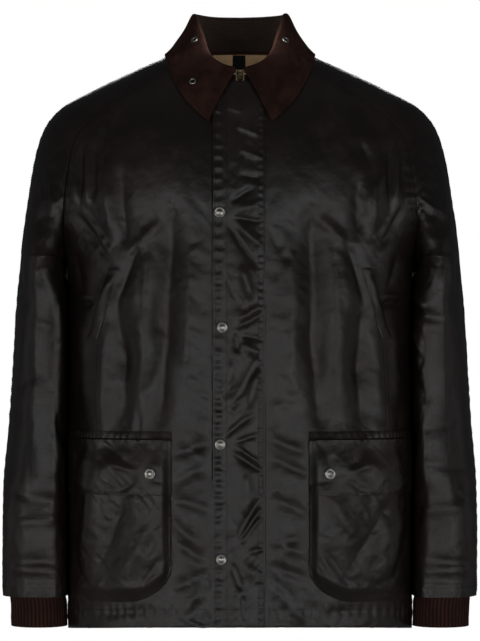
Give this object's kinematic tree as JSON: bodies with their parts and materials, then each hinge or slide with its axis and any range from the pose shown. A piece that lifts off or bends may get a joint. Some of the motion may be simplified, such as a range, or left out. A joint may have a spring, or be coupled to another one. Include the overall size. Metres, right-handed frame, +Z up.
{
  "type": "waxed cotton jacket",
  "caption": "Hip-length waxed cotton jacket filled out as if worn, with a corduroy collar, a snapped storm flap over the zip, bellows pockets and rib-knit cuffs.",
  "frame": {"origin": "on the centre line, level with the points where the collar meets the shoulders, where the wearer carries the jacket", "axes": "+X towards the wearer's left (the viewer's right), +Y towards the back, +Z up"},
  "size_m": [0.5988, 0.2943, 0.7798],
  "materials": {
    "waxed_cotton": "waxed, satin sheen",
    "corduroy": "corduroy pile, matte",
    "rib_knit": "rib knit, matte",
    "lining": "cotton lining, matte",
    "label": "woven label, matte",
    "zip_tape": "woven tape",
    "steel": "antiqued, satin",
    "brass": "antiqued"
  },
  "bodies": {
    "jacket": {"back_panel": "waxed_cotton", "front_left": "waxed_cotton", "front_right": "waxed_cotton", "sleeve_left_front": "waxed_cotton", "sleeve_left_back": "waxed_cotton", "sleeve_right_front": "waxed_cotton", "sleeve_right_back": "waxed_cotton", "storm_flap": "waxed_cotton", "pocket_bag_left": "waxed_cotton", "pocket_bag_right": "waxed_cotton", "pocket_flap_left": "waxed_cotton", "pocket_flap_right": "waxed_cotton", "handwarmer_welt_left": "waxed_cotton", "handwarmer_welt_right": "waxed_cotton", "collar": "corduroy", "cuff_left": "rib_knit", "cuff_right": "rib_knit", "neck_lining": "lining", "neck_label": "label", "zip_tape_left": "zip_tape", "zip_tape_right": "zip_tape", "zip_chain": "brass", "zip_slider": "brass", "storm_snap_1": "steel", "storm_snap_2": "steel", "storm_snap_3": "steel", "storm_snap_4": "steel", "pocket_snap_left": "steel", "collar_stud_left": "steel", "pocket_snap_right": "steel", "collar_stud_right": "steel", "collar_stud_lower": "steel"},
    "pull_tab": {"zip_pull_tab": "brass"}
  },
  "joints": [
    {"name": "pull_tab_swing", "type": "hinge", "parent": "jacket", "child": "pull_tab", "pos_m": [0, -0.09571, -0.02186], "axis": [-1, 0, 0], "range_deg": [0, 140]}
  ]
}
